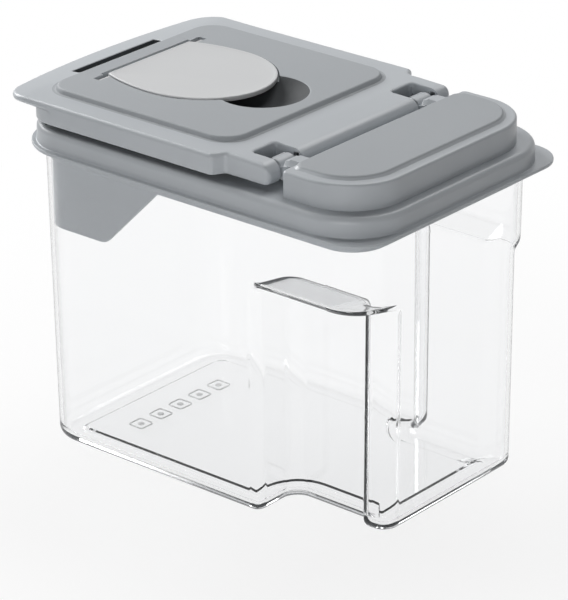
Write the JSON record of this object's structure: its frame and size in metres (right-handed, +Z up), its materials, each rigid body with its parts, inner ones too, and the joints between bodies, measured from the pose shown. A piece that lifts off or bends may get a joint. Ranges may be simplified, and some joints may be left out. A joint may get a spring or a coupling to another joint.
{
  "type": "cereal container with flip spout",
  "caption": "Clear box-shaped dry-food tub with grip recesses and a lift-off lid that carries a pour chute, a large hinged flap and a lift tab.",
  "frame": {"origin": "on the ground, under the middle of the whole container's bounding box", "axes": "+X from the pouring end towards the grip and hinge end, +Y across to the far side in the picture, +Z up"},
  "size_m": [0.238, 0.1594, 0.1886],
  "materials": {
    "container": "clear, glossy moulded plastic",
    "base_lid": "satin blue-grey moulded plastic",
    "pour_chute": "satin blue-grey moulded plastic",
    "lid_seal": "soft pale seal",
    "hinge_block": "satin blue-grey, fine matt texture on its pad",
    "flap_lid": "satin blue-grey, fine matt texture on its panel",
    "lift_tab": "smooth light grey"
  },
  "bodies": {
    "tub": {"container": "container"},
    "lid": {"base_lid": "base_lid", "pour_chute": "pour_chute", "lid_seal": "lid_seal", "hinge_block": "hinge_block"},
    "flap": {"flap_lid": "flap_lid"},
    "tab": {"lift_tab": "lift_tab"}
  },
  "joints": [
    {"name": "lid_lift_off", "type": "slide", "parent": "tub", "child": "lid", "axis": [0, 0, 1], "range_m": [0, 0.06]},
    {"name": "flap_hinge", "type": "hinge", "parent": "lid", "child": "flap", "pos_m": [0.0475, 0, 0.1792], "axis": [0, 1, 0], "range_deg": [0, 115]},
    {"name": "tab_hinge", "type": "hinge", "parent": "flap", "child": "tab", "pos_m": [-0.0825, 0, 0.1854], "axis": [0, -1, 0], "range_deg": [0, 95]}
  ]
}
